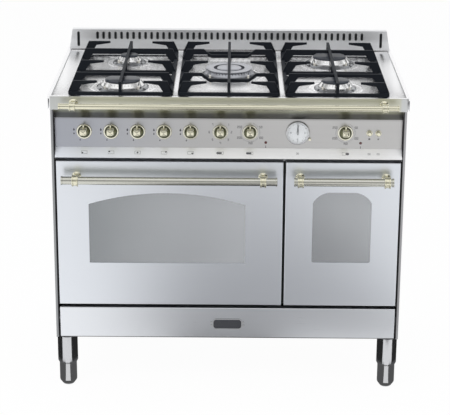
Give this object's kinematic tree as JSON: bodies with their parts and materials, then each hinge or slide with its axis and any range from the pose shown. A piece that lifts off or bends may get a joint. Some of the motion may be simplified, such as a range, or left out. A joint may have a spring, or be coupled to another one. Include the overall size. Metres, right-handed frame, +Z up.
{
  "type": "range cooker",
  "caption": "Freestanding steel range cooker with a gas hob, large and small drop-down-door ovens, brass knobs and rail, clock, storage drawer and height-adjustable legs.",
  "frame": {"origin": "on the floor, under the centre of the cooker's bounding box", "axes": "+X to the right seen from the front, +Y to the back, +Z up"},
  "size_m": [1, 0.682, 0.936],
  "materials": {
    "brushed_steel": "fine brushed stainless steel",
    "polished_steel": "bright polished stainless steel",
    "galvanised_steel": "galvanised sheet, dull",
    "black_enamel": "black enamelled sheet",
    "cavity_enamel": "dark grey oven enamel, glossy",
    "brass": "polished brass",
    "pale_brass": "pale satin brass",
    "cast_iron": "black enamelled cast iron, satin",
    "burner_metal": "bright cast aluminium under dark caps",
    "door_glass": "grey reflecting oven glass",
    "clear_glass": "clear clock glass",
    "clock_white": "white enamel dial",
    "clock_steel": "polished steel bezel",
    "hand_black": "black lacquered clock hands",
    "lamp_lens": "dark red lamp lens",
    "chromed_wire": "chromed wire",
    "heater_steel": "dark oxidised steel",
    "badge": "dark enamel plate in a bright frame"
  },
  "bodies": {
    "case": {"side_panels": "brushed_steel", "back_panel": "galvanised_steel", "base_frame": "galvanised_steel", "front_frame": "black_enamel", "hob_top": "polished_steel", "backsplash": "brushed_steel", "control_panel": "brushed_steel", "hob_rail": "brass", "oven_cavity_main": "cavity_enamel", "oven_cavity_small": "cavity_enamel", "heating_elements": "heater_steel", "fan_motor": "heater_steel", "burner_cups": "burner_metal", "gas_rail": "galvanised_steel", "knob_bezels": "brass", "clock_case": "clock_steel", "clock_dial": "clock_white", "clock_glass": "clear_glass", "indicator_lamps": "lamp_lens"},
    "main_door": {"door_skin_main": "brushed_steel", "door_glass_main": "door_glass", "door_liner_main": "black_enamel", "handle_bar_main": "pale_brass", "handle_brackets_main": "brass"},
    "small_door": {"door_skin_small": "brushed_steel", "door_glass_small": "door_glass", "door_liner_small": "black_enamel", "handle_bar_small": "pale_brass", "handle_brackets_small": "brass"},
    "drawer": {"drawer_front": "brushed_steel", "drawer_box": "galvanised_steel", "nameplate": "badge"},
    "main_shelf": {"oven_shelf_main": "chromed_wire"},
    "small_shelf": {"oven_shelf_small": "chromed_wire"},
    "fan": {"fan_blade": "heater_steel"},
    "clock_setter": {"clock_setting_knob": "brass"},
    "clock_hour": {"hour_hand": "hand_black"},
    "clock_minute": {"minute_hand": "hand_black"},
    "lamp_button": {"push_button_lamp": "brass"},
    "spark_button": {"push_button_spark": "brass"},
    "knob_burner_1": {"knob_burner_1": "brass"},
    "knob_burner_2": {"knob_burner_2": "brass"},
    "knob_burner_3": {"knob_burner_3": "brass"},
    "knob_burner_4": {"knob_burner_4": "brass"},
    "knob_burner_5": {"knob_burner_5": "brass"},
    "knob_oven_function": {"knob_oven_function": "brass"},
    "knob_oven_heat": {"knob_oven_heat": "brass"},
    "knob_small_oven": {"knob_small_oven": "brass"},
    "pan_support_left": {"pan_support_left": "cast_iron"},
    "pan_support_centre": {"pan_support_centre": "cast_iron"},
    "pan_support_right": {"pan_support_right": "cast_iron"},
    "burner_front_left": {"burner_front_left": "burner_metal"},
    "burner_rear_left": {"burner_rear_left": "burner_metal"},
    "burner_centre": {"burner_centre": "burner_metal"},
    "burner_front_right": {"burner_front_right": "burner_metal"},
    "burner_rear_right": {"burner_rear_right": "burner_metal"},
    "foot_front_left": {"foot_front_left": "polished_steel"},
    "foot_front_right": {"foot_front_right": "polished_steel"},
    "foot_rear_left": {"foot_rear_left": "polished_steel"},
    "foot_rear_right": {"foot_rear_right": "polished_steel"}
  },
  "joints": [
    {"name": "main_door_hinge", "type": "hinge", "parent": "case", "child": "main_door", "pos_m": [-0.164, -0.267, 0.2655], "axis": [1, 0, 0], "range_deg": [0, 90], "stiffness_Nm_per_rad": 4, "springref_deg": -28.65},
    {"name": "small_door_hinge", "type": "hinge", "parent": "case", "child": "small_door", "pos_m": [0.3215, -0.267, 0.2655], "axis": [1, 0, 0], "range_deg": [0, 90], "stiffness_Nm_per_rad": 2.2, "springref_deg": -28.65},
    {"name": "drawer_slide", "type": "slide", "parent": "case", "child": "drawer", "axis": [0, -1, 0], "range_m": [0, 0.3]},
    {"name": "main_shelf_slide", "type": "slide", "parent": "case", "child": "main_shelf", "axis": [0, -1, 0], "range_m": [0, 0.03]},
    {"name": "small_shelf_slide", "type": "slide", "parent": "case", "child": "small_shelf", "axis": [0, -1, 0], "range_m": [0, 0.025]},
    {"name": "knob_burner_1_turn", "type": "hinge", "parent": "case", "child": "knob_burner_1", "pos_m": [-0.403, -0.256, 0.768], "axis": [0, -1, 0], "range_deg": [0, 155]},
    {"name": "knob_burner_2_turn", "type": "hinge", "parent": "case", "child": "knob_burner_2", "pos_m": [-0.328, -0.256, 0.768], "axis": [0, -1, 0], "range_deg": [0, 155]},
    {"name": "knob_burner_3_turn", "type": "hinge", "parent": "case", "child": "knob_burner_3", "pos_m": [-0.254, -0.256, 0.768], "axis": [0, -1, 0], "range_deg": [0, 155]},
    {"name": "knob_burner_4_turn", "type": "hinge", "parent": "case", "child": "knob_burner_4", "pos_m": [-0.18, -0.256, 0.768], "axis": [0, -1, 0], "range_deg": [0, 155]},
    {"name": "knob_burner_5_turn", "type": "hinge", "parent": "case", "child": "knob_burner_5", "pos_m": [-0.106, -0.256, 0.768], "axis": [0, -1, 0], "range_deg": [0, 155]},
    {"name": "knob_oven_function_turn", "type": "hinge", "parent": "case", "child": "knob_oven_function", "pos_m": [-0.023, -0.256, 0.768], "axis": [0, -1, 0], "range_deg": [-315, 0]},
    {"name": "knob_oven_heat_turn", "type": "hinge", "parent": "case", "child": "knob_oven_heat", "pos_m": [0.06, -0.256, 0.768], "axis": [0, -1, 0], "range_deg": [-300, 0]},
    {"name": "knob_small_oven_turn", "type": "hinge", "parent": "case", "child": "knob_small_oven", "pos_m": [0.326, -0.256, 0.768], "axis": [0, -1, 0], "range_deg": [-300, 0]},
    {"name": "fan_spin", "type": "hinge", "parent": "case", "child": "fan", "pos_m": [-0.164, 0, 0.4685], "axis": [0, 1, 0], "continuous": true},
    {"name": "clock_setter_spin", "type": "hinge", "parent": "case", "child": "clock_setter", "pos_m": [0.2265, -0.256, 0.75], "axis": [0, 1, 0], "continuous": true},
    {"name": "minute_spin", "type": "hinge", "parent": "case", "child": "clock_minute", "pos_m": [0.193, -0.256, 0.768], "axis": [0, 1, 0], "continuous": true},
    {"name": "hour_spin", "type": "hinge", "parent": "case", "child": "clock_hour", "pos_m": [0.193, -0.256, 0.768], "axis": [0, 1, 0], "continuous": true},
    {"name": "lamp_button_press", "type": "slide", "parent": "case", "child": "lamp_button", "axis": [0, 1, 0], "range_m": [0, 0.003], "stiffness_N_per_m": 400, "springref_m": -0.003},
    {"name": "spark_button_press", "type": "slide", "parent": "case", "child": "spark_button", "axis": [0, 1, 0], "range_m": [0, 0.003], "stiffness_N_per_m": 400, "springref_m": -0.003},
    {"name": "pan_support_left_lift", "type": "slide", "parent": "case", "child": "pan_support_left", "axis": [0, 0, 1], "range_m": [0, 0.1]},
    {"name": "pan_support_centre_lift", "type": "slide", "parent": "case", "child": "pan_support_centre", "axis": [0, 0, 1], "range_m": [0, 0.1]},
    {"name": "pan_support_right_lift", "type": "slide", "parent": "case", "child": "pan_support_right", "axis": [0, 0, 1], "range_m": [0, 0.1]},
    {"name": "burner_front_left_lift", "type": "slide", "parent": "case", "child": "burner_front_left", "axis": [0, 0, 1], "range_m": [0, 0.006]},
    {"name": "burner_rear_left_lift", "type": "slide", "parent": "case", "child": "burner_rear_left", "axis": [0, 0, 1], "range_m": [0, 0.006]},
    {"name": "burner_centre_lift", "type": "slide", "parent": "case", "child": "burner_centre", "axis": [0, 0, 1], "range_m": [0, 0.006]},
    {"name": "burner_front_right_lift", "type": "slide", "parent": "case", "child": "burner_front_right", "axis": [0, 0, 1], "range_m": [0, 0.006]},
    {"name": "burner_rear_right_lift", "type": "slide", "parent": "case", "child": "burner_rear_right", "axis": [0, 0, 1], "range_m": [0, 0.006]},
    {"name": "foot_front_left_extend", "type": "slide", "parent": "case", "child": "foot_front_left", "axis": [0, 0, -1], "range_m": [0, 0.04]},
    {"name": "foot_front_right_extend", "type": "slide", "parent": "case", "child": "foot_front_right", "axis": [0, 0, -1], "range_m": [0, 0.04]},
    {"name": "foot_rear_left_extend", "type": "slide", "parent": "case", "child": "foot_rear_left", "axis": [0, 0, -1], "range_m": [0, 0.04]},
    {"name": "foot_rear_right_extend", "type": "slide", "parent": "case", "child": "foot_rear_right", "axis": [0, 0, -1], "range_m": [0, 0.04]}
  ],
  "couplings": [
    {"joint": "minute_spin", "follows": "clock_setter_spin", "ratio": 1},
    {"joint": "hour_spin", "follows": "clock_setter_spin", "ratio": 0.083333}
  ]
}
